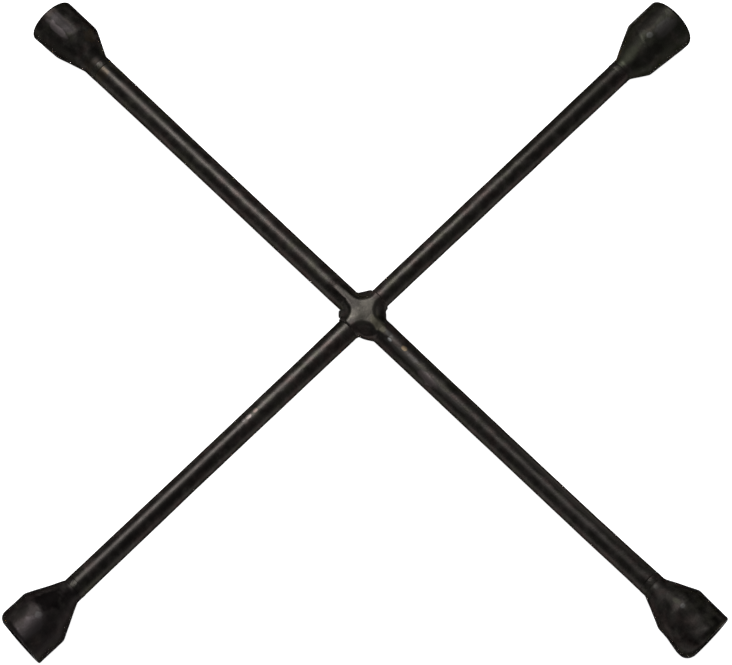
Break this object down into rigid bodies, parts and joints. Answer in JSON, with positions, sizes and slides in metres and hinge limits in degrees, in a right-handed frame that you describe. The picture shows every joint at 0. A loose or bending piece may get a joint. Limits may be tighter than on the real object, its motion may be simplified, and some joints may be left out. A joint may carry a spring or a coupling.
{
  "type": "lug wrench",
  "caption": "Cross-shaped lug wrench: round steel bars joined by a forged eye at the middle, with a hexagon socket for wheel nuts at each end.",
  "frame": {"origin": "where the axes of the two bars cross, at the middle of the eye", "axes": "+X along the eye bar towards the 19 mm socket, +Y along the cross bar towards the 21 mm socket, +Z square to the cross"},
  "size_m": [0.508, 0.508, 0.0318],
  "materials": {
    "black_bar": "worn semi-gloss black coating",
    "black_socket": "worn semi-gloss black coating on a forging",
    "black_weld": "black coating over a dressed weld, faint rust"
  },
  "bodies": {
    "root": {"eye_bar": "black_bar", "cross_bar": "black_bar", "socket_17mm": "black_socket", "socket_weld_17mm": "black_weld", "socket_19mm": "black_socket", "socket_weld_19mm": "black_weld", "socket_21mm": "black_socket", "socket_weld_21mm": "black_weld", "socket_22mm": "black_socket", "socket_weld_22mm": "black_weld"}
  },
  "joints": []
}
